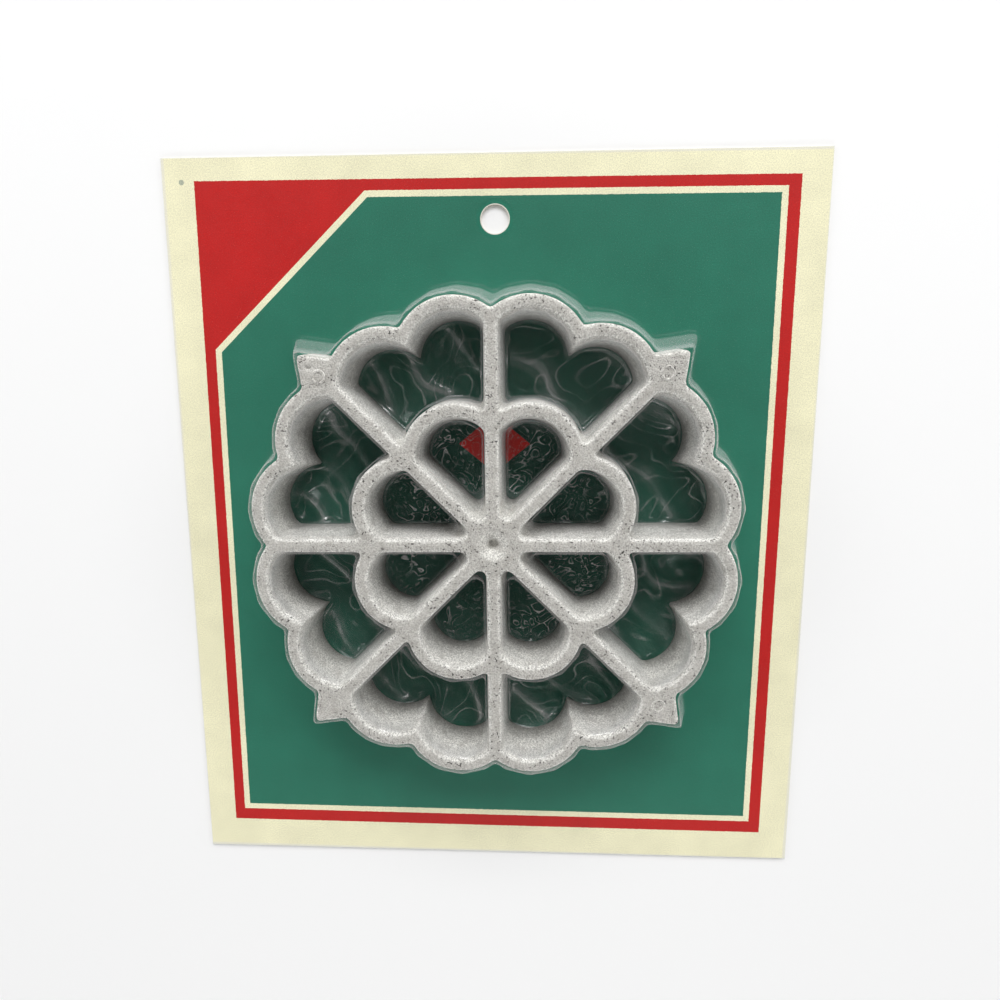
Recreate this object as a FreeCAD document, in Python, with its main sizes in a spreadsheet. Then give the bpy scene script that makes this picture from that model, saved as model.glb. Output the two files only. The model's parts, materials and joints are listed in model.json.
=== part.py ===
# Rosette iron on a display card: one cast aluminium frying mould, skin packed under clear
# film on a printed board. The pack lies on its back: the board's back is at Z = 0, +Y points
# to the hang hole, and +Z points out of the board's front.
#
# The casting is an open lattice. Sixteen round lobes make its outline, eight walls run from
# the hub to the lobes, and a ring of eight arcs joins the walls halfway. That leaves eight
# wedge cells round the hub and eight heart cells outside the ring. Every upright face is
# drafted: a wall is thinnest at the rim, which goes into the batter, and thickest at the base,
# where the handle screws into the hub. Lattice sizes are given at the rim.

import FreeCAD, Part
import Sketcher
import math
import os

V = FreeCAD.Vector

SIZES = [
    ("iron_height", 15.0, "base to rim"),
    ("draft_angle", 4.5, "degrees, every upright face"),
    ("wall_thickness", 3.0, "radial walls, at the rim"),
    ("lobe_thickness", 2.8, "outer scalloped wall, at the rim"),
    ("ring_thickness", 3.0, "inner ring, at the rim"),
    ("lobe_centre", 42.4, "hub axis to a lobe's axis"),
    ("lobe_radius", 13.0, "outside of a lobe"),
    ("ring_centre", 21.6, "hub axis to a ring arc's axis"),
    ("ring_radius", 11.8, "outside of a ring arc"),
    ("lug_reach", 60.2, "hub axis to the point where a lug's sides meet"),
    ("lug_half_angle", 37.0, "degrees, between a lug's side and its middle line"),
    ("lug_tip_radius", 0.8, "rounding of a lug's point"),
    ("hub_corner", 1.5, "cell corner at the hub"),
    ("dish_width", 7.0, "across the dished middle of the hub"),
    ("dish_depth", 1.6, "depth of the dish"),
    ("pit_width", 2.6, "centre pit in the dish"),
    ("pit_depth", 1.2, "centre pit, below the dish"),
    ("socket_bore", 5.1, "tapping size of the handle's thread"),
    ("socket_depth", 10.0, "handle socket, from the base"),
    ("iron_across", 1.0, "hub axis to the right of the board's middle"),
    ("iron_up", -0.6, "hub axis above the board's middle"),
    ("iron_turn", 0.4, "degrees, the iron's turn on the board"),
    ("board_width", 152.4, "display board"),
    ("board_length", 174.0, "display board, top to bottom"),
    ("board_gauge", 0.6, "display board"),
    ("hang_hole_bore", 6.4, "hang hole through the board"),
    ("film_hole_gap", 0.4, "film's edge back from the hang hole's edge"),
    ("hang_hole_drop", 14.3, "board's top edge to the hang hole's axis"),
    ("hang_hole_across", 1.0, "hang hole to the right of the board's middle"),
    ("film_gauge", 0.15, "skin film"),
    ("film_stand_off", 0.3, "film to the iron's upright walls"),
    ("skirt_reach", 2.5, "film's slope past the iron's foot, along the board"),
]

LOBES = 16
CELLS = 8
LUGS = 4
LOBES_TO_A_LUG = LOBES // LUGS
HALF_CELL = 180.0 / CELLS
HALF_LOBE = 180.0 / LOBES
FIRST_LUG = 45.0
FACETS = 4

doc = FreeCAD.newDocument("RosetteIron")


def make_sheet():
    """The driving dimensions, one to a row: name, number, note."""
    sheet = doc.addObject("Spreadsheet::Sheet", "Sizes")
    for row, (alias, number, note) in enumerate(SIZES, start=1):
        sheet.set("A%d" % row, alias)
        sheet.set("B%d" % row, str(number))
        sheet.set("C%d" % row, note)
        sheet.setAlias("B%d" % row, alias)
    doc.recompute()
    return sheet


sheet = make_sheet()


def size(alias):
    return float(getattr(sheet, alias))


def value_of(expression):
    """What an expression on the sheet's cells comes to, as a plain number."""
    value = sheet.evalExpression(expression)
    return getattr(value, "Value", value)


def origin_part(body, role):
    for feature in body.Origin.OriginFeatures:
        if feature.Role == role:
            return feature
    raise ValueError("no origin feature " + role)


# Plan geometry of the cells, drawn on a sketch whose X axis is a cell's middle line. "thicker"
# is how far every wall's face has moved into the cell from its place at the rim.

def mirrored(point):
    return V(point.x, -point.y, 0)


def on_wall(along, off):
    """Point at a distance along the wall above the X axis, and off it towards the cell."""
    angle = math.radians(HALF_CELL)
    outward = V(math.cos(angle), math.sin(angle), 0)
    sideways = V(math.sin(angle), -math.cos(angle), 0)
    return outward * along + sideways * off


def wall_meets(off, centre, radius):
    """Farthest point of the line beside the wall that is at radius from centre."""
    start = on_wall(0, off) - centre
    half = start.dot(on_wall(1, 0))
    along = -half + math.sqrt(half ** 2 - start.dot(start) + radius ** 2)
    return on_wall(along, off)


def ring_axis():
    return V(size("ring_centre"), 0, 0)


def lobe_axis():
    angle = math.radians(HALF_LOBE)
    return V(math.cos(angle), math.sin(angle), 0) * size("lobe_centre")


def wall_off(thicker=0.0):
    return size("wall_thickness") / 2 + thicker


def hub_corner_point(thicker=0.0):
    return V(wall_off(thicker) / math.sin(math.radians(HALF_CELL)), 0, 0)


def ring_corner_point(thicker=0.0):
    inside = size("ring_radius") - size("ring_thickness") - thicker
    return wall_meets(wall_off(thicker), ring_axis(), inside)


def crotch_point(thicker=0.0):
    return wall_meets(wall_off(thicker), ring_axis(), size("ring_radius") + thicker)


def lobe_inside(thicker=0.0):
    return size("lobe_radius") - size("lobe_thickness") - thicker


def lobe_corner_point(thicker=0.0):
    return wall_meets(wall_off(thicker), lobe_axis(), lobe_inside(thicker))


def cusp_point(thicker=0.0):
    axis = lobe_axis()
    return V(axis.x + math.sqrt(lobe_inside(thicker) ** 2 - axis.y ** 2), 0, 0)


def new_body(name):
    body = doc.addObject("PartDesign::Body", name)
    body.Label = name
    return body


def new_sketch(body, name, plane, height="0 mm", turn=0.0):
    """A sketch parallel to one of the body's planes, at a height above it and turned in it."""
    sketch = body.newObject("Sketcher::SketchObject", name)
    sketch.AttachmentSupport = [(origin_part(body, plane), "")]
    sketch.MapMode = "FlatFace"
    sketch.AttachmentOffset = FreeCAD.Placement(V(0, 0, 0), FreeCAD.Rotation(V(0, 0, 1), turn))
    sketch.setExpression("AttachmentOffset.Base.z", height)
    return sketch


def bind(sketch, kind, *where, to):
    """Adds a dimension whose value is an expression on the sheet's cells."""
    value = value_of(to)
    if kind == "Angle":
        value = math.radians(value)
    index = sketch.addConstraint(Sketcher.Constraint(kind, *where, value))
    sketch.setExpression("Constraints[%d]" % index, to)


def tie(sketch, kind, *where):
    sketch.addConstraint(Sketcher.Constraint(kind, *where))


def arc_between(centre, start, end):
    """Arc about centre, counterclockwise from start to end."""
    first = math.atan2(start.y - centre.y, start.x - centre.x)
    last = math.atan2(end.y - centre.y, end.x - centre.x)
    circle = Part.Circle(centre, V(0, 0, 1), start.distanceToPoint(centre))
    return Part.ArcOfCircle(circle, first, last)


def bind_walls(sketch, lower, upper):
    """Sets two lines of a cell's outline half a wall off the middle lines of its walls."""
    for line, sign in ((lower, "-"), (upper, "")):
        bind(sketch, "Distance", -1, 1, line, to="Sizes.wall_thickness / 2")
        bind(sketch, "Angle", -1, 1, line, 1, to="%s%g deg" % (sign, HALF_CELL))


def wedge_outline(body):
    """Wedge cell at the rim: two walls and the inside of a ring arc."""
    hub = hub_corner_point()
    corner = ring_corner_point()
    sketch = new_sketch(body, "wedge_outline", "XY_Plane", "Sizes.iron_height", HALF_CELL)
    sketch.addGeometry([
        Part.LineSegment(hub, mirrored(corner)),
        arc_between(ring_axis(), mirrored(corner), corner),
        Part.LineSegment(hub, corner),
    ], False)
    tie(sketch, "Coincident", 0, 2, 1, 1)
    tie(sketch, "Coincident", 1, 2, 2, 2)
    tie(sketch, "Coincident", 2, 1, 0, 1)
    tie(sketch, "PointOnObject", 1, 3, -1)
    bind(sketch, "DistanceX", -1, 1, 1, 3, to="Sizes.ring_centre")
    bind(sketch, "Radius", 1, to="Sizes.ring_radius - Sizes.ring_thickness")
    bind_walls(sketch, 0, 2)
    return sketch


def heart_outline(body):
    """Heart cell at the rim: two walls, the inside of two lobes and the outside of the ring."""
    crotch = crotch_point()
    corner = lobe_corner_point()
    cusp = cusp_point()
    axis = lobe_axis()
    sketch = new_sketch(body, "heart_outline", "XY_Plane", "Sizes.iron_height", HALF_CELL)
    sketch.addGeometry([
        Part.LineSegment(mirrored(crotch), mirrored(corner)),
        arc_between(mirrored(axis), mirrored(corner), cusp),
        arc_between(axis, cusp, corner),
        Part.LineSegment(crotch, corner),
        arc_between(ring_axis(), mirrored(crotch), crotch),
    ], False)
    tie(sketch, "Coincident", 0, 2, 1, 1)
    tie(sketch, "Coincident", 1, 2, 2, 1)
    tie(sketch, "Coincident", 2, 2, 3, 2)
    tie(sketch, "Coincident", 3, 1, 4, 2)
    tie(sketch, "Coincident", 4, 1, 0, 1)
    tie(sketch, "PointOnObject", 4, 3, -1)
    bind(sketch, "DistanceX", -1, 1, 4, 3, to="Sizes.ring_centre")
    bind(sketch, "Radius", 4, to="Sizes.ring_radius")
    for lobe, sign in ((1, "-"), (2, "")):
        bind(sketch, "DistanceX", -1, 1, lobe, 3,
             to="Sizes.lobe_centre * cos(%g deg)" % HALF_LOBE)
        bind(sketch, "DistanceY", -1, 1, lobe, 3,
             to="%sSizes.lobe_centre * sin(%g deg)" % (sign, HALF_LOBE))
        bind(sketch, "Radius", lobe, to="Sizes.lobe_radius - Sizes.lobe_thickness")
    bind_walls(sketch, 0, 3)
    return sketch


def lug_outline(body):
    """A pointed lug: two sides that meet at its tip, closed inside the lobes."""
    tip = V(size("lug_reach"), 0, 0)
    root = size("lobe_centre") + size("lobe_radius") / 2
    angle = math.radians(size("lug_half_angle"))
    at_root = V(root, (tip.x - root) * math.tan(angle), 0)
    sketch = new_sketch(body, "lug_outline", "XY_Plane", "Sizes.iron_height", FIRST_LUG)
    sketch.addGeometry([
        Part.LineSegment(mirrored(at_root), tip),
        Part.LineSegment(tip, at_root),
        Part.LineSegment(at_root, mirrored(at_root)),
    ], False)
    for side in range(3):
        tie(sketch, "Coincident", side, 2, (side + 1) % 3, 1)
    tie(sketch, "PointOnObject", 0, 2, -1)
    tie(sketch, "Vertical", 2)
    bind(sketch, "DistanceX", -1, 1, 0, 2, to="Sizes.lug_reach")
    bind(sketch, "DistanceX", -1, 1, 2, 1, to="Sizes.lobe_centre + Sizes.lobe_radius / 2")
    bind(sketch, "Angle", -1, 1, 0, 1, to="Sizes.lug_half_angle * 1 deg")
    return sketch


def circle_outline(body, name, radius, across=None, turn=0.0):
    """A circle at the rim, on the sketch's X axis, or on the hub axis if across isn't given."""
    sketch = new_sketch(body, name, "XY_Plane", "Sizes.iron_height", turn)
    centre = V(value_of(across) if across else 0.0, 0, 0)
    sketch.addGeometry(Part.Circle(centre, V(0, 0, 1), value_of(radius)), False)
    bind(sketch, "Radius", 0, to=radius)
    if across:
        tie(sketch, "PointOnObject", 0, 3, -1)
        bind(sketch, "DistanceX", -1, 1, 0, 3, to=across)
    else:
        tie(sketch, "Coincident", 0, 3, -1, 1)
    return sketch


def extrude(body, kind, name, sketch, length="Sizes.iron_height"):
    """A pad or pocket that goes down from its sketch."""
    feature = body.newObject("PartDesign::" + kind, name)
    feature.Profile = sketch
    feature.Type = "Length"
    feature.Reversed = kind == "Pad"
    feature.setExpression("Length", length)
    doc.recompute()
    body.Tip = feature
    return feature


def pattern_round(body, name, feature, copies):
    pattern = body.newObject("PartDesign::PolarPattern", name)
    pattern.Originals = [feature]
    pattern.Axis = (origin_part(body, "Z_Axis"), [""])
    pattern.Angle = 360
    pattern.Occurrences = copies
    body.Tip = pattern
    doc.recompute()
    return pattern


def lattice(body):
    """The straight-sided lattice: core, lobes and lugs, less the wedge and heart cells."""
    core = circle_outline(body, "core_outline", "Sizes.lobe_centre")
    extrude(body, "Pad", "core", core)
    lobe = circle_outline(body, "lobe_outline", "Sizes.lobe_radius", "Sizes.lobe_centre", HALF_LOBE)
    pattern_round(body, "lobes", extrude(body, "Pad", "lobe", lobe), LOBES)
    blank = pattern_round(body, "lugs", extrude(body, "Pad", "lug", lug_outline(body)), LUGS)
    pattern_round(body, "wedges", extrude(body, "Pocket", "wedge", wedge_outline(body)), CELLS)
    cut = pattern_round(body, "hearts", extrude(body, "Pocket", "heart", heart_outline(body)), CELLS)
    taken = blank.Shape.Volume - cut.Shape.Volume
    print("cells take %.0f of %.0f mm3" % (taken, blank.Shape.Volume))
    return cut


def names_where(kind, things, test):
    return ["%s%d" % (kind, index) for index, thing in enumerate(things, start=1) if test(thing)]


def level_at(thing, height):
    box = thing.BoundBox
    return abs(box.ZMin - height) < 1e-4 and abs(box.ZMax - height) < 1e-4


def draft(body, before):
    """Slopes every upright face outwards from the rim down."""
    shape = before.Shape
    rim = size("iron_height")
    feature = body.newObject("PartDesign::Draft", "draft")
    feature.Base = (before, names_where("Face", shape.Faces, lambda face: face.BoundBox.ZLength > 1e-4))
    feature.NeutralPlane = (before, names_where("Face", shape.Faces, lambda face: level_at(face, rim)))
    feature.setExpression("Angle", "Sizes.draft_angle")
    body.Tip = feature
    doc.recompute()
    return feature


def round_corners(body, before, name, reach, radius):
    """Rounds the upright edges whose top is at a distance from the hub axis."""
    rim = size("iron_height")

    def is_corner(edge):
        top = max((vertex.Point for vertex in edge.Vertexes), key=lambda point: point.z)
        upright = edge.BoundBox.ZLength > rim / 2
        return upright and abs(math.hypot(top.x, top.y) - reach) < 1e-3

    feature = body.newObject("PartDesign::Fillet", name)
    feature.Base = (before, names_where("Edge", before.Shape.Edges, is_corner))
    feature.setExpression("Radius", radius)
    body.Tip = feature
    doc.recompute()
    return feature


def sink_dish(body):
    """The dished middle of the hub with its centre pit, turned about the hub axis."""
    rim = size("iron_height")
    half = size("dish_width") / 2
    deep = size("dish_depth")
    ball = (half ** 2 + deep ** 2) / (2 * deep)
    centre = V(0, rim - deep + ball, 0)
    pit_side = size("pit_width") / 2
    pit_top = centre.y - math.sqrt(ball ** 2 - pit_side ** 2)
    pit_floor = rim - deep - size("pit_depth")
    corners = [V(0, rim, 0), V(0, pit_floor, 0), V(pit_side, pit_floor, 0), V(pit_side, pit_top, 0)]
    edge = V(half, rim, 0)
    sketch = new_sketch(body, "dish_profile", "XZ_Plane")
    sketch.addGeometry([
        Part.LineSegment(corners[0], corners[1]),
        Part.LineSegment(corners[1], corners[2]),
        Part.LineSegment(corners[2], corners[3]),
        arc_between(centre, corners[3], edge),
        Part.LineSegment(edge, corners[0]),
    ], False)
    for line in range(5):
        tie(sketch, "Coincident", line, 2, (line + 1) % 5, 1)
    tie(sketch, "PointOnObject", 0, 1, -2)
    tie(sketch, "PointOnObject", 3, 3, -2)
    for line, way in ((0, "Vertical"), (1, "Horizontal"), (2, "Vertical"), (4, "Horizontal")):
        tie(sketch, way, line)
    bind(sketch, "DistanceY", -1, 1, 0, 1, to="Sizes.iron_height")
    bind(sketch, "DistanceX", 4, 2, 4, 1, to="Sizes.dish_width / 2")
    bind(sketch, "DistanceX", 1, 1, 1, 2, to="Sizes.pit_width / 2")
    bind(sketch, "DistanceY", 0, 2, 0, 1, to="Sizes.dish_depth + Sizes.pit_depth")
    bind(sketch, "Radius", 3,
         to="(pow(Sizes.dish_width / 2; 2) + pow(Sizes.dish_depth; 2)) / (2 * Sizes.dish_depth)")
    groove = body.newObject("PartDesign::Groove", "dish")
    groove.Profile = sketch
    groove.ReferenceAxis = (sketch, ["V_Axis"])
    groove.Angle = 360
    body.Tip = groove
    doc.recompute()
    return groove


def drill_socket(body):
    """Tapping hole for the handle, from the base up into the hub."""
    sketch = new_sketch(body, "socket_outline", "XY_Plane")
    sketch.addGeometry(Part.Circle(V(0, 0, 0), V(0, 0, 1), size("socket_bore") / 2), False)
    tie(sketch, "Coincident", 0, 3, -1, 1)
    bind(sketch, "Diameter", 0, to="Sizes.socket_bore")
    pocket = extrude(body, "Pocket", "socket", sketch, "Sizes.socket_depth")
    pocket.Reversed = True
    doc.recompute()
    return pocket


def make_casting():
    body = new_body("rosette_casting")
    feature = draft(body, lattice(body))
    for name, reach, radius in (
            ("hub_corners", hub_corner_point().Length, "Sizes.hub_corner"),
            ("lug_tips", size("lug_reach"), "Sizes.lug_tip_radius")):
        feature = round_corners(body, feature, name, reach, radius)
    sink_dish(body)
    drill_socket(body)
    return body


def iron_place():
    """Where the hub axis stands on the board, and how far the iron is turned there."""
    place = V(size("iron_across"), size("iron_up"), size("board_gauge"))
    return FreeCAD.Placement(place, FreeCAD.Rotation(V(0, 0, 1), size("iron_turn")))


def bind_place(thing, **expressions):
    for axis, expression in expressions.items():
        thing.setExpression("Placement.Base." + axis, expression)


def panel(name, bottom, gauge, hole_edge):
    """A flat sheet of the board's size, with a hole of radius hole_edge at the hang hole."""
    sheet_box = doc.addObject("Part::Box", name + "_sheet")
    sheet_box.setExpression("Length", "Sizes.board_width")
    sheet_box.setExpression("Width", "Sizes.board_length")
    sheet_box.setExpression("Height", gauge)
    bind_place(sheet_box, x="-Sizes.board_width / 2", y="-Sizes.board_length / 2", z=bottom)
    hole = doc.addObject("Part::Cylinder", name + "_hang_hole")
    hole.setExpression("Radius", hole_edge)
    hole.setExpression("Height", gauge)
    bind_place(hole, x="Sizes.hang_hole_across",
               y="Sizes.board_length / 2 - Sizes.hang_hole_drop", z=bottom)
    cut = doc.addObject("Part::Cut", name)
    cut.Base = sheet_box
    cut.Tool = hole
    return cut


def make_board():
    board = panel("backing_card", "0", "Sizes.board_gauge", "Sizes.hang_hole_bore / 2")
    doc.recompute()
    return board


# The film is drawn taut, so its walls are flat facets. Each outline below lists its corners for
# walls that have moved by "thicker" from their place at the rim.

def swung(centre, start, end, share):
    """The start point, turned about centre by a share of the way to the end point."""
    turn = FreeCAD.Rotation(start - centre, end - centre)
    part = FreeCAD.Rotation(turn.Axis, math.degrees(turn.Angle) * share)
    return part.multVec(start - centre)


def hollow_facets(centre, start, end):
    """Corners of chords inside an arc, with its start and without its end."""
    return [centre + swung(centre, start, end, step / FACETS) for step in range(FACETS)]


def round_facets(centre, start, end):
    """Corners of flats that touch an arc from outside, with its start and without its end."""
    half_step = swung(centre, start, end, 0.5 / FACETS).getAngle(start - centre)
    corners = [start]
    for step in range(FACETS):
        corners.append(centre + swung(centre, start, end, (step + 0.5) / FACETS) / math.cos(half_step))
    return corners


def wedge_facets(thicker):
    """A wedge cell, with a flat across its corner at the hub where the iron's is rounded."""
    hub = hub_corner_point(thicker)
    corner = ring_corner_point(thicker)
    rounding = size("hub_corner") / math.tan(math.radians(HALF_CELL))
    eased = hub + (corner - hub).normalize() * rounding
    arc = hollow_facets(ring_axis(), mirrored(corner), corner)
    return [mirrored(eased)] + arc + [corner, eased]


def heart_facets(thicker):
    corner = lobe_corner_point(thicker)
    crotch = crotch_point(thicker)
    cusp = cusp_point(thicker)
    corners = hollow_facets(mirrored(lobe_axis()), mirrored(corner), cusp)
    corners += hollow_facets(lobe_axis(), cusp, corner)
    corners += [corner]
    corners += round_facets(ring_axis(), crotch, mirrored(crotch))
    return corners + [mirrored(crotch)]


def turned(point, degrees):
    return FreeCAD.Rotation(V(0, 0, 1), degrees).multVec(point)


def notch_point(thicker):
    """Where two neighbouring lobes meet outside, on the X axis between them."""
    axis = lobe_axis()
    return V(axis.x + math.sqrt((size("lobe_radius") + thicker) ** 2 - axis.y ** 2), 0, 0)


def lug_root_point(thicker):
    """Where a lug's side meets the lobe above it, with the lug on the X axis."""
    angle = math.radians(size("lug_half_angle"))
    inward = V(-math.cos(angle), math.sin(angle), 0)
    start = lug_tip_point(thicker) - lobe_axis()
    half = start.dot(inward)
    along = -half - math.sqrt(half ** 2 - start.dot(start) + (size("lobe_radius") + thicker) ** 2)
    return lug_tip_point(thicker) + inward * along


def lug_tip_point(thicker):
    return V(size("lug_reach") + thicker / math.sin(math.radians(size("lug_half_angle"))), 0, 0)


def rim_facets(thicker):
    """The iron's outer outline: the lugs, with the lobes from each to the next."""
    corners = []
    lobe_step = 2 * HALF_LOBE
    for lug in range(LUGS):
        start = FIRST_LUG + lug * 360.0 / LUGS
        root = lug_root_point(thicker)
        notches = range(1, LOBES_TO_A_LUG)
        ends = [root] + [turned(notch_point(thicker), lobe_step * n) for n in notches]
        ends += [turned(mirrored(root), LOBES_TO_A_LUG * lobe_step)]
        outline = [lug_tip_point(thicker)]
        for n in range(LOBES_TO_A_LUG):
            outline += round_facets(turned(lobe_axis(), lobe_step * n), ends[n], ends[n + 1])
        outline += [ends[-1]]
        corners += [turned(point, start) for point in outline]
    return corners


def facet_block(facets, low, high, at_low, at_high):
    """A solid between a facet outline at one height and the same outline at another."""
    bottom = [V(point.x, point.y, low) for point in facets(at_low)]
    top = [V(point.x, point.y, high) for point in facets(at_high)]
    outlines = [bottom, top]
    for n in range(len(bottom)):
        after = (n + 1) % len(bottom)
        outlines += [[bottom[n], bottom[after], top[after]], [bottom[n], top[after], top[n]]]
    faces = [Part.Face(Part.makePolygon(corners + corners[:1])) for corners in outlines]
    block = Part.Solid(Part.Shell(faces))
    block.fix(1e-6, 1e-6, 1e-6)
    if block.Volume < 0:
        block.reverse()
    return block


def draped_block(name, low, lift, stand_off):
    """The iron as the film sees it from outside: a block with a pit in every cell."""
    rim = size("iron_height")
    lean = rim * math.tan(math.radians(size("draft_angle")))
    high = rim + lift
    block = facet_block(rim_facets, 0, high, stand_off + lean + size("skirt_reach"), stand_off)
    pits = []
    for facets in (wedge_facets, heart_facets):
        pit = facet_block(facets, low, high, stand_off + lean, stand_off)
        for cell in range(CELLS):
            copy = pit.copy()
            copy.rotate(V(0, 0, 0), V(0, 0, 1), HALF_CELL * (2 * cell + 1))
            pits.append(copy)
    feature = doc.addObject("Part::Feature", name)
    feature.Shape = block.cut(Part.makeCompound(pits))
    feature.Placement = iron_place()
    return feature


def make_film():
    """A sheet on the board and a shell over the iron, drawn down into every cell."""
    gauge = size("film_gauge")
    outside = draped_block("film_outside", gauge, gauge, size("film_stand_off") + gauge)
    inside = draped_block("film_inside", 0, 0, size("film_stand_off"))
    sheet_part = panel("film_panel", "Sizes.board_gauge", "Sizes.film_gauge",
                       "Sizes.hang_hole_bore / 2 + Sizes.film_hole_gap")
    whole = doc.addObject("Part::MultiFuse", "film_whole")
    whole.Shapes = [sheet_part, outside]
    film = doc.addObject("Part::Cut", "skin_film")
    film.Base = whole
    film.Tool = inside
    doc.recompute()
    return film


def report_fault(thing):
    states = set(thing.State) & {"Invalid", "Error"}
    return "%s: %s" % (thing.Name, ", ".join(states)) if states else None


def write_parts(parts):
    """Checks every object, then writes one STEP file for each sub-part."""
    faults = [fault for fault in map(report_fault, doc.Objects) if fault]
    if faults:
        raise RuntimeError("; ".join(faults))
    os.makedirs("parts", exist_ok=True)
    for part in parts:
        shape = part.Shape
        if shape.isNull() or not shape.isValid() or len(shape.Solids) != 1:
            raise RuntimeError(part.Label + " is not one valid solid")
        shape.exportStep("parts/%s.step" % part.Label)
        print("%s: %.1f mm3, %d faces" % (part.Label, shape.Volume, len(shape.Faces)))


casting = make_casting()
casting.Placement = iron_place()
write_parts([make_board(), casting, make_film()])
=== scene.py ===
# %% [markdown]
# # A rosette iron on its display card
#
# A rosette iron is a cast aluminium mould. It is screwed to a handle, dipped in batter and held
# in hot fat, and the batter fries into a thin crisp flower. This one is still in its pack: the
# iron lies on a printed card, and a clear film drawn down over both holds it there.
#
# The CAD model gives the frame: every length here is in metres, the card's back is at Z = 0 and
# the hang hole is towards +Y. Blender adds what the solids leave out: the soft edges of a
# casting, the way a film drapes, and the finishes.

# %% Load the frame
import json
import math

import bpy
from mathutils import Matrix, Vector

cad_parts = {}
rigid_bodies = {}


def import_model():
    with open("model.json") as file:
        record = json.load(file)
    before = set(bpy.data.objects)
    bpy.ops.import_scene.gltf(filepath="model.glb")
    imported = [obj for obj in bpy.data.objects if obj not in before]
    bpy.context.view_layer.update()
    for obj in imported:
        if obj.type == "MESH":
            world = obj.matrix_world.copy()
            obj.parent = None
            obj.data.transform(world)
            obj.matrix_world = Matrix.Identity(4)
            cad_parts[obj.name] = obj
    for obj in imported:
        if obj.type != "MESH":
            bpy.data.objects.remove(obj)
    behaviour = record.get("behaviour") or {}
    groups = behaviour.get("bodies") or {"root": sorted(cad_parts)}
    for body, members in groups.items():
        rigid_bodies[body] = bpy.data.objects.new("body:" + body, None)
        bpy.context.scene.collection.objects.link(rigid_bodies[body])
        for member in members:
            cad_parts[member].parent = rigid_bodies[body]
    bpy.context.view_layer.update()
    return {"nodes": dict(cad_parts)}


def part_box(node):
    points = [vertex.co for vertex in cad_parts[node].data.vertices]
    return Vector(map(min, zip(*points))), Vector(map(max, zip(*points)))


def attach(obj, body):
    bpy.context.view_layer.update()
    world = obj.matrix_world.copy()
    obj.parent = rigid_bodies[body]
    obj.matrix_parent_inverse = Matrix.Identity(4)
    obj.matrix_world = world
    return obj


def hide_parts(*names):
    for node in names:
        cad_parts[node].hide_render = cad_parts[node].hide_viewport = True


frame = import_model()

nodes = frame["nodes"]
print("CAD nodes:", ", ".join(sorted(nodes)))

# %% [markdown]
# ## Working by hand from a script
#
# Blender's operators act on whatever is selected, so each step starts by deselecting all and
# picking one object. A modifier is added, set and applied at once, as a modeller would at the
# bench. Sizes are easier to read in millimetres, so one constant turns them into metres.

# %% Helpers for picking and finishing
MM = 0.001


def pick(obj):
    bpy.ops.object.select_all(action="DESELECT")
    obj.select_set(True)
    bpy.context.view_layer.objects.active = obj


def apply_modifier(obj, kind, **settings):
    pick(obj)
    modifier = obj.modifiers.new(kind.lower(), kind)
    for name, value in settings.items():
        setattr(modifier, name, value)
    bpy.ops.object.modifier_apply(modifier=modifier.name)


def edit(obj):
    pick(obj)
    bpy.ops.object.mode_set(mode="EDIT")
    bpy.ops.mesh.select_all(action="SELECT")


def leave_edit():
    bpy.ops.object.mode_set(mode="OBJECT")


def join(target, *others):
    pick(target)
    for other in others:
        other.select_set(True)
    bpy.ops.object.join()


def copy_of_node(node_name, name):
    """A free copy of a CAD node's mesh, with its loose triangles merged."""
    twin = bpy.data.objects.new(name, nodes[node_name].data.copy())
    bpy.context.scene.collection.objects.link(twin)
    edit(twin)
    bpy.ops.mesh.remove_doubles(threshold=0.001 * MM)
    leave_edit()
    return twin


def place_in_mesh(obj):
    pick(obj)
    bpy.ops.object.transform_apply(location=True, rotation=True, scale=True)


def triangles(obj):
    return sum(len(face.vertices) - 2 for face in obj.data.polygons)


# %% [markdown]
# ## Where the camera stands
#
# The photograph was taken from a little above the pack's middle, square to the card but for a
# slight lean. The camera's place and its axis were worked out from the card's four corners and
# the lattice. The view is square, so the lens follows from the focal length in pixels.

# %% Camera
CAMERA_PLACE = Vector((8.5, 31.7, 157.4)) * MM
VIEW_AXIS = Vector((-0.0411, -0.1519, -0.9875))
CAMERA_UP = Vector((-0.0035, 0.9884, -0.1519))
FOCAL_PIXELS = 650
IMAGE_PIXELS = 1000
SENSOR_WIDTH = 36

backwards = -VIEW_AXIS.normalized()
rightwards = CAMERA_UP.cross(backwards).normalized()
upwards = backwards.cross(rightwards)
bpy.ops.object.camera_add()
camera = bpy.context.object
camera.name = "camera"
turn = Matrix((rightwards, upwards, backwards)).transposed()
camera.matrix_world = Matrix.Translation(CAMERA_PLACE) @ turn.to_4x4()
camera.data.sensor_width = SENSOR_WIDTH
camera.data.lens = FOCAL_PIXELS / IMAGE_PIXELS * SENSOR_WIDTH
camera.data.clip_start = 0.01
bpy.context.scene.camera = camera
print("lens %.1f mm" % camera.data.lens)

# %% [markdown]
# ## The iron
#
# The real iron is one casting, and metal that has filled a sand or die mould never has a knife
# edge: its rims are rounded by about a millimetre, and every inside corner has a fillet. The
# CAD solid has the walls and their draft, with sharp edges. Bevelling hundreds of curved edges
# that meet at small angles is slow and breaks easily, so the solid is remeshed into small even
# quads and those are relaxed. That rounds every edge and fills every corner at once, as
# tumbling does. Flat places keep their place, and a decimation thins them out.

# %% Cast the iron with soft edges
CAST_GRAIN = 0.45 * MM
RELAX_STEPS = 15
IRON_TRIANGLES = 185000
IRON_AXIS = Vector((1.0, -0.6, 0)) * MM
RIM_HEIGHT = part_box("rosette_casting")[1][2]

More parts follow.
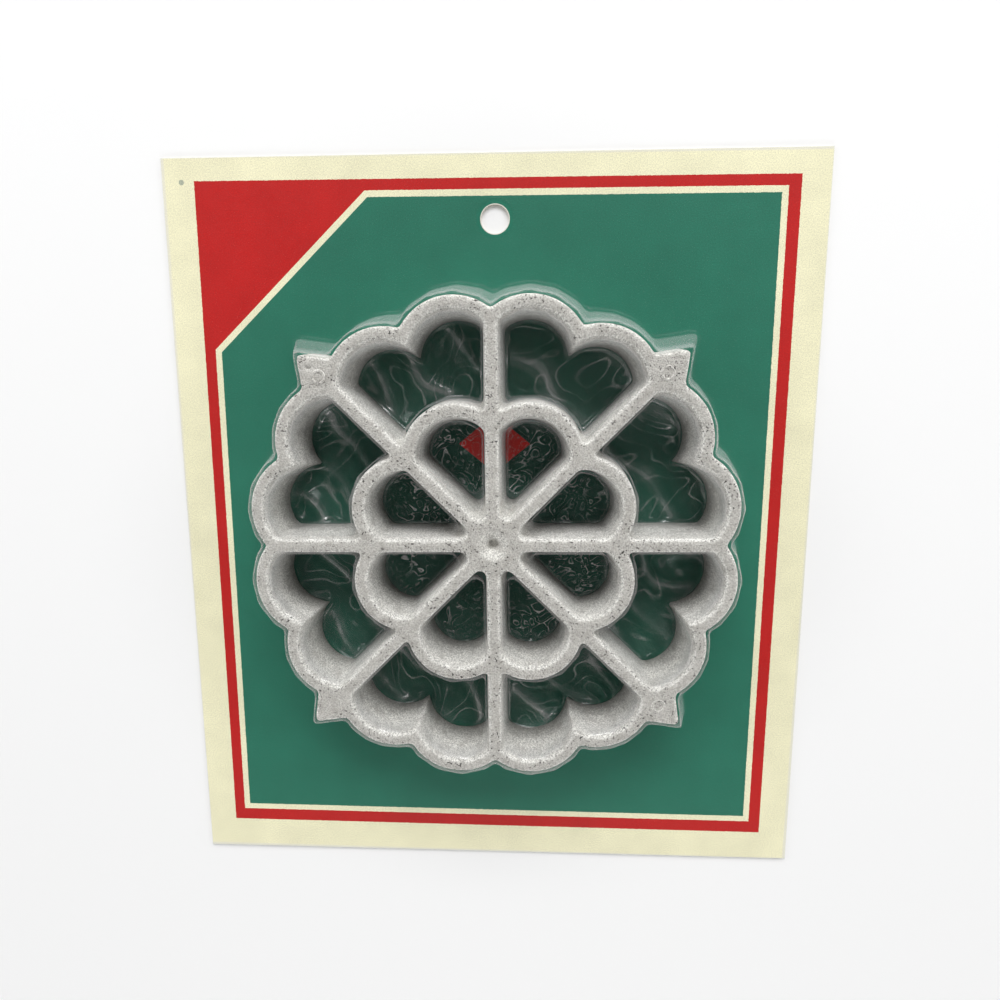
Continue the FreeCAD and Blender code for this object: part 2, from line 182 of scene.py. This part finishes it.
iron = copy_of_node("rosette_casting", "iron")
apply_modifier(iron, "REMESH", mode="VOXEL", voxel_size=CAST_GRAIN, use_smooth_shade=True)
apply_modifier(iron, "SMOOTH", factor=0.5, iterations=RELAX_STEPS)
print("iron remeshed to %d triangles" % triangles(iron))

# %% [markdown]
# ## Pits
#
# Relaxing also softens the small hollows, so they are pressed in again: the centre mark in the
# dish of the hub, and a gas pit on the lug at the top left. The points round each spot are
# selected by their distance from it and moved down, the inner ones twice.

# %% Press the pits
HUB_PIT = Vector((-0.2, 0.1, 0)) * MM
LUG_PIT = Vector((-40.0, 39.4, 0)) * MM


def press(obj, centre, radius, depth):
    edit(obj)
    bpy.ops.mesh.select_mode(type="VERT")
    bpy.ops.mesh.select_all(action="DESELECT")
    leave_edit()
    for vertex in obj.data.vertices:
        off = (vertex.co - centre).xy.length
        vertex.select = off < radius and vertex.co.z > RIM_HEIGHT / 2
    bpy.ops.object.mode_set(mode="EDIT")
    bpy.ops.transform.translate(value=(0, 0, -depth))
    leave_edit()


for spot, radius, depth in ((HUB_PIT, 1.35 * MM, 0.55 * MM), (HUB_PIT, 0.9 * MM, 0.5 * MM),
                            (LUG_PIT, 0.55 * MM, 0.45 * MM)):
    press(iron, IRON_AXIS + spot, radius, depth)
apply_modifier(iron, "DECIMATE", ratio=IRON_TRIANGLES / triangles(iron))
pick(iron)
bpy.ops.object.shade_smooth()
print("iron: %d triangles" % triangles(iron))

# %% [markdown]
# ## Marks on the lugs
#
# Each pointed lug shows where a pin pushed the hot casting out of its mould: a thin raised ring
# 2.7 mm across. A torus is added for each and sunk until only its crown shows. The pins left
# two clear rings at the top of the pack and two faint ones at the bottom.

# %% Pin marks
MARK_REACH = 53.2 * MM
MARK_RADIUS = 1.35 * MM
MARK_WIRE = 0.3 * MM
CROWNS = {45: 0.22 * MM, 135: 0.3 * MM, 225: 0.06 * MM, 315: 0.15 * MM}

marks = []
for azimuth, crown in CROWNS.items():
    angle = math.radians(azimuth + 0.4)
    spot = IRON_AXIS + Vector((math.cos(angle), math.sin(angle), 0)) * MARK_REACH
    spot.z = RIM_HEIGHT - MARK_WIRE + crown
    bpy.ops.mesh.primitive_torus_add(
        location=spot, major_radius=MARK_RADIUS, minor_radius=MARK_WIRE,
        major_segments=40, minor_segments=12)
    place_in_mesh(bpy.context.object)
    bpy.ops.object.shade_smooth()
    marks.append(bpy.context.object)
join(iron, *marks)
print("%d pin marks" % len(marks))

# %% [markdown]
# ## The skin film
#
# The film is a warm, soft sheet that air has pressed down over the iron and into every cell,
# where it sticks to the card. Between rim and card it spans the foot of each wall in a small
# curve. A cloth simulation would have to stretch the sheet to three times its area, so the
# drape is made from the solids: iron, CAD film and a slab under them are merged into one lump,
# the lump is relaxed more than the iron was, and its top skin is kept. A shrinkwrap then lifts
# any spot that the relaxing pulled into the metal.

# %% Lump of iron, film and slab
CARD_LOW, CARD_HIGH = (Vector(corner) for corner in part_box("backing_card"))
FILM_LOW, FILM_HIGH = (Vector(corner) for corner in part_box("skin_film"))
FILM_LEVEL = CARD_HIGH.z + 0.15 * MM
SLAB_MARGIN = 4 * MM
SLAB_DEPTH = 5 * MM
HOLE_CENTRE = Vector((1.0, 72.7, 0)) * MM
FILM_HOLE_RADIUS = 3.6 * MM

slab_size = Vector((CARD_HIGH.x - CARD_LOW.x, CARD_HIGH.y - CARD_LOW.y, 0))
slab_size += Vector((2 * SLAB_MARGIN, 2 * SLAB_MARGIN, SLAB_DEPTH))
bpy.ops.mesh.primitive_cube_add(size=1, location=(0, 0, FILM_LEVEL - SLAB_DEPTH / 2))
slab = bpy.context.object
slab.scale = slab_size
place_in_mesh(slab)
bpy.ops.mesh.primitive_cylinder_add(vertices=64, radius=FILM_HOLE_RADIUS, depth=4 * SLAB_DEPTH,
                                    location=HOLE_CENTRE)
punch = bpy.context.object
place_in_mesh(punch)
apply_modifier(slab, "BOOLEAN", operation="DIFFERENCE", object=punch, solver="EXACT")
bpy.data.objects.remove(punch)

film = copy_of_node("skin_film", "film")
join(film, copy_of_node("rosette_casting", "iron_core"), slab)
print("lump: %d triangles" % triangles(film))

# %% Relax the lump and keep its top skin
FILM_GRAIN = 0.6 * MM
FILM_RELAX_STEPS = 12
FILM_TRIANGLES = 95000
FILM_GAP = 0.1 * MM
FILM_GAUGE = 0.08 * MM

apply_modifier(film, "REMESH", mode="VOXEL", voxel_size=FILM_GRAIN, use_smooth_shade=True)
apply_modifier(film, "SMOOTH", factor=0.5, iterations=FILM_RELAX_STEPS)


def trim(obj, point, outward):
    """Cuts an object's mesh with a plane and clears what lies beyond it."""
    edit(obj)
    bpy.ops.mesh.bisect(plane_co=point, plane_no=outward, clear_outer=True)
    leave_edit()


trim(film, (0, 0, FILM_LEVEL - 0.08 * MM), (0, 0, -1))
trim(film, CARD_LOW, (-1, 0, 0))
trim(film, CARD_LOW, (0, -1, 0))
trim(film, CARD_HIGH, (1, 0, 0))
trim(film, CARD_HIGH, (0, 1, 0))


def keep_linked_to(obj, point):
    """Deletes every loose part of a mesh but the one nearest to a point."""
    edit(obj)
    bpy.ops.mesh.select_mode(type="VERT")
    bpy.ops.mesh.select_all(action="DESELECT")
    leave_edit()
    near = min(obj.data.vertices, key=lambda vertex: (vertex.co - point).length)
    near.select = True
    bpy.ops.object.mode_set(mode="EDIT")
    bpy.ops.mesh.select_linked()
    bpy.ops.mesh.select_all(action="INVERT")
    bpy.ops.mesh.delete(type="VERT")
    leave_edit()


keep_linked_to(film, Vector((CARD_LOW.x, CARD_LOW.y, FILM_LEVEL)))
print("skin: %d triangles" % triangles(film))
apply_modifier(film, "SHRINKWRAP", target=iron, wrap_method="NEAREST_SURFACEPOINT",
               wrap_mode="OUTSIDE", offset=FILM_GAP)
apply_modifier(film, "DECIMATE", ratio=min(1, FILM_TRIANGLES / triangles(film)))
apply_modifier(film, "SOLIDIFY", thickness=FILM_GAUGE, offset=1)
pick(film)
bpy.ops.object.shade_smooth()
print("film: %d triangles" % triangles(film))

# %% [markdown]
# ## Mixing finishes
#
# Each finish is a node tree on a Principled shader. The helpers below add a node, set it and
# return the socket that the next one needs, so that a finish reads as a recipe. Colours are
# written as a paint program shows them and turned into the linear light that shaders use.

# %% Helpers for finishes
def paint(red, green, blue):
    """A colour of 0 to 255 a channel, as linear light."""
    channels = [channel / 255 for channel in (red, green, blue)]
    linear = [c / 12.92 if c <= 0.04045 else ((c + 0.055) / 1.055) ** 2.4 for c in channels]
    return (*linear, 1)


def new_finish(name):
    finish = bpy.data.materials.new(name)
    finish.use_nodes = True
    return finish, finish.node_tree, finish.node_tree.nodes["Principled BSDF"]


def feed(tree, socket, value):
    if isinstance(value, bpy.types.NodeSocket):
        tree.links.new(value, socket)
    else:
        socket.default_value = value


def add_node(tree, kind, inputs, **settings):
    node = tree.nodes.new(kind)
    for name, value in settings.items():
        setattr(node, name, value)
    for name, value in inputs.items():
        feed(tree, node.inputs[name], value)
    return node


def maths(tree, operation, first, second=0.0):
    node = add_node(tree, "ShaderNodeMath", {0: first, 1: second}, operation=operation)
    return node.outputs[0]


def blend(tree, share, below, above):
    """One colour over another, where share is 1."""
    node = add_node(tree, "ShaderNodeMix", {0: share, 6: below, 7: above}, data_type="RGBA")
    return node.outputs[2]


def noise(tree, grain, detail=2.0, stretch=0.0):
    """Noise whose features are about grain across, on the object's own coordinates."""
    place = tree.nodes.new("ShaderNodeTexCoord").outputs["Object"]
    node = add_node(tree, "ShaderNodeTexNoise", {
        "Vector": place, "Scale": 1 / grain, "Detail": detail, "Distortion": stretch})
    return node.outputs["Fac"]


def ramp(tree, value, low, high, at_low=0.0, at_high=1.0):
    """Maps low..high to at_low..at_high and holds the ends."""
    node = add_node(tree, "ShaderNodeMapRange", {
        "Value": value, "From Min": low, "From Max": high, "To Min": at_low, "To Max": at_high})
    return node.outputs["Result"]


def bump(tree, height, depth, below=None):
    inputs = {"Height": height, "Distance": depth}
    if below is not None:
        inputs["Normal"] = below
    return add_node(tree, "ShaderNodeBump", inputs).outputs["Normal"]


def split_place(tree):
    """The object's own X, Y and Z."""
    place = tree.nodes.new("ShaderNodeTexCoord").outputs["Object"]
    return add_node(tree, "ShaderNodeSeparateXYZ", {"Vector": place}).outputs[:3]


def dress(obj, finish):
    """Puts one finish on all of an object."""
    obj.data.materials.clear()
    obj.data.materials.append(finish)


# %% [markdown]
# ## Cast aluminium
#
# The casting was never polished. Its skin is matte and grainy, light grey with a dusting of
# oxide, and its rims carry small dark pits where gas was trapped. The grain is a noise with
# features of a third of a millimetre, and the pits are the rare peaks of a second noise. Two
# shades are painted in: the foot of each wall is painted darker where shade falls between the
# walls, and the flat top of each rim is painted a little darker than its rounded edges.

# %% Finish for the casting
ALUMINIUM = paint(194, 192, 187)
OXIDE = paint(255, 254, 249)
TARNISH_AND_RIM_SHADE = paint(172, 168, 161)
PIT = paint(70, 66, 62)
FOOT_SHADE = paint(100, 93, 84)

cast_finish, tree, shader = new_finish("cast_aluminium_skin")
grain = noise(tree, 0.34 * MM, detail=3.0)
patches = noise(tree, 2.5 * MM, detail=4.0)
across, along, height = split_place(tree)
on_rim = ramp(tree, height, RIM_HEIGHT - 1.2 * MM, RIM_HEIGHT - 0.6 * MM)
clusters = ramp(tree, noise(tree, 5 * MM), 0.38, 0.6)
pits = ramp(tree, noise(tree, 0.55 * MM, detail=1.0), 0.635, 0.675)
pits = maths(tree, "MULTIPLY", maths(tree, "MULTIPLY", pits, on_rim), clusters)
normal = tree.nodes.new("ShaderNodeNewGeometry").outputs["Normal"]
upward = add_node(tree, "ShaderNodeSeparateXYZ", {"Vector": normal}).outputs["Z"]
# painted shade: the flat, upward-facing top of each rim is toned darker than its rounded edges
painted_rim_top_shade = maths(tree, "MULTIPLY", ramp(tree, upward, 0.82, 0.99, 0.0, 0.5), on_rim)
metal = blend(tree, ramp(tree, grain, 0.39, 0.6), ALUMINIUM, OXIDE)
metal = blend(tree, painted_rim_top_shade, metal, TARNISH_AND_RIM_SHADE)
metal = blend(tree, ramp(tree, patches, 0.5, 0.72, 0.0, 0.5), metal, TARNISH_AND_RIM_SHADE)
# painted shade: darker towards the foot of each wall, where the walls shade one another
metal = blend(tree, ramp(tree, height, 1 * MM, 7 * MM, 0.6, 0.0), metal, FOOT_SHADE)
metal = blend(tree, pits, metal, PIT)
feed(tree, shader.inputs["Base Color"], metal)
feed(tree, shader.inputs["Roughness"], ramp(tree, grain, 0.3, 0.7, 0.6, 0.8))
shader.inputs["Metallic"].default_value = 0.4
rough = bump(tree, grain, 0.32 * MM)
rough = bump(tree, maths(tree, "SUBTRACT", 1.0, pits), 0.2 * MM, rough)
feed(tree, shader.inputs["Normal"], rough)
dress(iron, cast_finish)

# %% [markdown]
# ## The printed card
#
# The card is cream board with three inks: a red frame with a red corner, a cream line inside
# it, and a green field. Each edge is a distance worked out from the object's X and Y, and an
# ink lies where its distance is below zero. That stays sharp at any size, which an image would
# not. A little noise on the distance gives the fuzzy edge that ink has on board.

# %% Finish for the card
CREAM = paint(245, 241, 206)
RED = paint(194, 26, 24)
BRIGHT_RED = paint(252, 58, 50)
GREEN = paint(40, 117, 95)
PRINT_TURN = math.radians(0.2)
FRAME_CENTRE = (0.2 * MM, 1.1 * MM)
FRAME_HALF = (69.2 * MM, 80.6 * MM)
LINE_CENTRE = (0.1 * MM, 1.4 * MM)
LINE_HALF = (66.5 * MM, 77.85 * MM)
KEYLINE = 1.45 * MM
CORNER_NORMAL = (-0.692, 0.722)
CORNER_REACH = 76.0 * MM
DIAMOND_CENTRE = (0.6 * MM, 21.3 * MM)
DIAMOND_HALF = (8.6 * MM, 7.0 * MM)
SHADED_CELL_GREEN = paint(22, 58, 48)
CUT_BOARD = paint(232, 230, 220)
BARE_BOARD = paint(206, 201, 186)
CUT_EDGE_RADIUS = 3.4 * MM
SMUDGE = paint(178, 184, 164)
SMUDGE_PLACE = (-71.7 * MM, 81.7 * MM)
SMUDGE_RADIUS = 0.6 * MM


def reach_from(tree, centre):
    """Distance in plan from a point."""
    across, along, height = split_place(tree)
    plan = add_node(tree, "ShaderNodeCombineXYZ", {"X": across, "Y": along}).outputs[0]
    node = add_node(tree, "ShaderNodeVectorMath", {0: plan, 1: (centre[0], centre[1], 0)},
                    operation="DISTANCE")
    return node.outputs["Value"]


def beyond(tree, axis, centre, half):
    """How far a coordinate is outside a strip about centre, below zero inside it."""
    off = maths(tree, "ABSOLUTE", maths(tree, "SUBTRACT", axis, centre))
    return maths(tree, "SUBTRACT", off, half)


def beyond_frame(tree, across, along, centre, half):
    """How far a point is outside a rectangle, below zero inside it."""
    return maths(tree, "MAXIMUM", beyond(tree, across, centre[0], half[0]),
                 beyond(tree, along, centre[1], half[1]))


def inked(tree, distance):
    return maths(tree, "LESS_THAN", distance, 0.0)


card_finish, tree, shader = new_finish("printed_card_face")
place = tree.nodes.new("ShaderNodeTexCoord").outputs["Object"]
turned = add_node(tree, "ShaderNodeMapping", {"Vector": place, "Rotation": (0, 0, PRINT_TURN)})
across, along, height = add_node(
    tree, "ShaderNodeSeparateXYZ", {"Vector": turned.outputs["Vector"]}).outputs[:3]
fuzz = ramp(tree, noise(tree, 0.4 * MM), 0.3, 0.7, -0.05 * MM, 0.05 * MM)
frame_edge = beyond_frame(tree, across, along, FRAME_CENTRE, FRAME_HALF)
frame_edge = maths(tree, "ADD", frame_edge, fuzz)
line_frame = beyond_frame(tree, across, along, LINE_CENTRE, LINE_HALF)
line_frame = maths(tree, "ADD", line_frame, fuzz)
corner_edge = maths(tree, "ADD", maths(tree, "MULTIPLY", across, CORNER_NORMAL[0]),
                    maths(tree, "MULTIPLY", along, CORNER_NORMAL[1]))
corner_edge = maths(tree, "SUBTRACT", corner_edge, CORNER_REACH)
line_edge = maths(tree, "MAXIMUM", line_frame, maths(tree, "SUBTRACT", corner_edge, KEYLINE))
field_edge = maths(tree, "MAXIMUM", maths(tree, "ADD", line_frame, KEYLINE), corner_edge)
slope = DIAMOND_HALF[1] / DIAMOND_HALF[0]
diamond_across = maths(tree, "MULTIPLY", slope,
                       beyond(tree, across, DIAMOND_CENTRE[0], DIAMOND_HALF[0]))
diamond_edge = maths(tree, "ADD", diamond_across, beyond(tree, along, DIAMOND_CENTRE[1], 0.0))

print_colour = blend(tree, inked(tree, frame_edge), CREAM, RED)
print_colour = blend(tree, inked(tree, line_edge), print_colour, CREAM)
print_colour = blend(tree, inked(tree, field_edge), print_colour, GREEN)
mottle = ramp(tree, noise(tree, 9 * MM, detail=5.0), 0.3, 0.7, 0.94, 1.04)
speckle = ramp(tree, noise(tree, 0.3 * MM, detail=1.0), 0.3, 0.7, 0.88, 1.1)
tone = maths(tree, "MULTIPLY", mottle, speckle)
# painted shade: the print inside the iron's outline is darkened towards a deep green, standing in
# for shade in the cells
painted_cell_shade = ramp(tree, reach_from(tree, IRON_AXIS), 50 * MM, 53 * MM, 0.55, 0.0)
print_colour = blend(tree, painted_cell_shade, print_colour, SHADED_CELL_GREEN)
print_colour = blend(tree, inked(tree, diamond_edge), print_colour, BRIGHT_RED)
cut_edge = maths(tree, "SUBTRACT", reach_from(tree, HOLE_CENTRE), CUT_EDGE_RADIUS)
print_colour = blend(tree, inked(tree, cut_edge), print_colour, CUT_BOARD)
smudge = maths(tree, "SUBTRACT", reach_from(tree, SMUDGE_PLACE), SMUDGE_RADIUS)
print_colour = blend(tree, inked(tree, smudge), print_colour, SMUDGE)
toned = add_node(tree, "ShaderNodeVectorMath", {0: print_colour, "Scale": tone}, operation="SCALE")
card_half = [(high - low) / 2 for low, high in zip(CARD_LOW, CARD_HIGH)]
worn_edge = beyond_frame(tree, across, along, (0.0, 0.0), card_half)
worn = ramp(tree, maths(tree, "ADD", worn_edge, fuzz), -0.5 * MM, -0.1 * MM, 0.0, 0.7)
printed = blend(tree, worn, toned.outputs[0], CUT_BOARD)
on_front = maths(tree, "GREATER_THAN", height, CARD_HIGH.z * 0.9)
feed(tree, shader.inputs["Base Color"], blend(tree, on_front, BARE_BOARD, printed))
feed(tree, shader.inputs["Roughness"], ramp(tree, noise(tree, 1.2 * MM), 0.3, 0.7, 0.42, 0.55))
shader.inputs["Specular IOR Level"].default_value = 0.25
feed(tree, shader.inputs["Normal"], bump(tree, noise(tree, 0.5 * MM, detail=3.0), 0.02 * MM))
for material_slot in nodes["backing_card"].material_slots:
    material_slot.material = card_finish

# %% [markdown]
# ## Clear film
#
# A film this thin bends no light that the eye can see: it lets nearly all of it through and
# mirrors a few hundredths. So the finish is a mirror that is mostly absent. Its alpha is the
# share that is mirrored, which Fresnel gives. Painted highlights raise it further: whitish
# lines along the folds and crinkles that the film makes in the cells where it had to stretch,
# and a pale painted halo on the film just below the outer rim. A broad bump makes the glints
# wander as they do on the pack.

# %% Finish for the film
film_finish, tree, shader = new_finish("clear_skin_film")
across, along, height = split_place(tree)
from_axis = reach_from(tree, IRON_AXIS)
in_cells = ramp(tree, from_axis, 53 * MM, 58 * MM, 1.0, 0.0)
in_wedges = ramp(tree, from_axis, 26 * MM, 33 * MM, 1.0, 0.0)
on_card = ramp(tree, height, 1.2 * MM, 3 * MM, 1.0, 0.0)
place = tree.nodes.new("ShaderNodeTexCoord").outputs["Object"]
folds = add_node(tree, "ShaderNodeTexWave", {
    "Vector": place, "Scale": 42.0, "Distortion": 8.0, "Detail": 1.0, "Detail Scale": 0.8},
    bands_direction="DIAGONAL").outputs["Fac"]
crinkles = noise(tree, 5 * MM, detail=1.0, stretch=1.4)
waves = blend(tree, in_wedges, folds, crinkles)
# painted highlights: whitish lines and thin sweeps along the folds in the heart cells
fold_light = maths(tree, "ADD", ramp(tree, folds, 0.55, 1.0, 0.0, 0.05),
                   ramp(tree, folds, 0.94, 1.0, 0.0, 0.12))
sweeps = add_node(tree, "ShaderNodeTexNoise", {
    "Vector": place, "Scale": 1 / (17 * MM), "Detail": 1.0, "Distortion": 0.8}).outputs["Fac"]
sweep = maths(tree, "PINGPONG", sweeps, 0.05)
fold_light = maths(tree, "ADD", fold_light, ramp(tree, sweep, 0.0, 0.012, 0.13, 0.0))
# painted highlights: whitish lines along the crinkles in the wedge cells
ridge = maths(tree, "PINGPONG", crinkles, 0.07)
crinkle_light = ramp(tree, ridge, 0.0, 0.02, 0.5, 0.0)
painted_crease_highlight = blend(tree, in_wedges, fold_light, crinkle_light)
patchy = ramp(tree, noise(tree, 9 * MM), 0.4, 0.6, 0.2, 1.0)
painted_crease_highlight = maths(tree, "MULTIPLY", maths(tree, "MULTIPLY", painted_crease_highlight, in_cells), on_card)
facing = add_node(tree, "ShaderNodeLayerWeight", {"Blend": 0.5}).outputs["Facing"]
glance = maths(tree, "POWER", facing, 5.0)
mirrored_share = maths(tree, "ADD", ramp(tree, glance, 0.0, 1.0, 0.006, 0.45),
                       maths(tree, "MULTIPLY", in_cells, 0.012))
outside = ramp(tree, from_axis, 47 * MM, 51 * MM)
# painted highlight: a pale halo on the film over the outer walls just below the rim
painted_rim_halo = maths(tree, "MULTIPLY", outside, maths(
    tree, "MULTIPLY", ramp(tree, height, RIM_HEIGHT - 5 * MM, RIM_HEIGHT - 1.2 * MM),
    ramp(tree, height, RIM_HEIGHT - 0.5 * MM, RIM_HEIGHT - 0.1 * MM, 1.0, 0.0)))
painted_film_highlights = maths(tree, "ADD", maths(tree, "MULTIPLY", painted_crease_highlight, patchy),
             maths(tree, "MULTIPLY", painted_rim_halo, 0.22))
feed(tree, shader.inputs["Alpha"], maths(tree, "ADD", mirrored_share, painted_film_highlights))
shader.inputs["Base Color"].default_value = (1, 1, 1, 1)
shader.inputs["Metallic"].default_value = 0.45
shader.inputs["Roughness"].default_value = 0.2
wave_height = maths(tree, "MULTIPLY", maths(tree, "MULTIPLY", waves, in_cells), on_card)
fold_depth = ramp(tree, in_wedges, 0.0, 1.0, 1.0, 2.2)
wave_height = maths(tree, "MULTIPLY", wave_height, fold_depth)
feed(tree, shader.inputs["Normal"], bump(tree, wave_height, 2.0 * MM))
dress(film, film_finish)

# %% [markdown]
# ## Studio
#
# The pack lies on a pale floor. One large soft light stands beyond the hang hole, so the walls
# of the iron are bright above and in shade below, as in the photograph, and a pale world fills
# the shade. Together they light a level surface so that its colour comes out as written.

# %% Floor, light and world
bpy.ops.mesh.primitive_plane_add(size=6, location=(0, 0, -0.02 * MM))
floor = bpy.context.object
floor.name = "floor"
floor_finish, tree, shader = new_finish("pale_floor")
shader.inputs["Base Color"].default_value = paint(250, 250, 250)
shader.inputs["Roughness"].default_value = 0.8
place_in_mesh(floor)
dress(floor, floor_finish)

LAMPS = {
    "key": ((0.09, 1.12, 0.72), 1.3, 18.0),
    "left_fill": ((-1.08, 0.18, 0.54), 0.7, 2.6),
    "right_fill": ((1.08, 0.18, 0.54), 0.7, 2.6),
    "bounce": ((0.0, -0.90, 0.45), 0.7, 3.4),
}
for lamp_name, (lamp_place, lamp_width, lamp_power) in LAMPS.items():
    bpy.ops.object.light_add(type="AREA", location=lamp_place)
    lamp = bpy.context.object
    lamp.name = lamp_name
    lamp.rotation_euler = Vector(lamp_place).to_track_quat("Z", "Y").to_euler()
    lamp.data.shape = "RECTANGLE"
    lamp.data.size = lamp_width
    lamp.data.size_y = lamp_width / 2
    lamp.data.energy = lamp_power

WALL_GLOW = 0.85
CEILING_GLOW = 0.2
WALL_TOP = (0.12, 0.4)
world = bpy.data.worlds.new("studio")
bpy.context.scene.world = world
world.use_nodes = True
tree = world.node_tree
direction = tree.nodes.new("ShaderNodeTexCoord").outputs["Generated"]
climb = add_node(tree, "ShaderNodeSeparateXYZ", {"Vector": direction}).outputs["Z"]
feed(tree, tree.nodes["Background"].inputs["Strength"],
     ramp(tree, climb, WALL_TOP[0], WALL_TOP[1], WALL_GLOW, CEILING_GLOW))
tree.nodes["Background"].inputs["Color"].default_value = (1, 1, 1, 1)
bpy.context.scene.view_settings.view_transform = "Standard"

# %% [markdown]
# ## Hand the pieces to the frame
#
# Each new piece rides on the pack's one body, and the CAD node that it dresses is hidden. The
# card keeps its CAD shape.

# %% Tie pieces to the model
for piece, node_name, finish_slot in ((iron, "rosette_casting", "cast_aluminium"),
                                      (film, "skin_film", "clear_film")):
    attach(piece, "root")
    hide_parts(node_name)
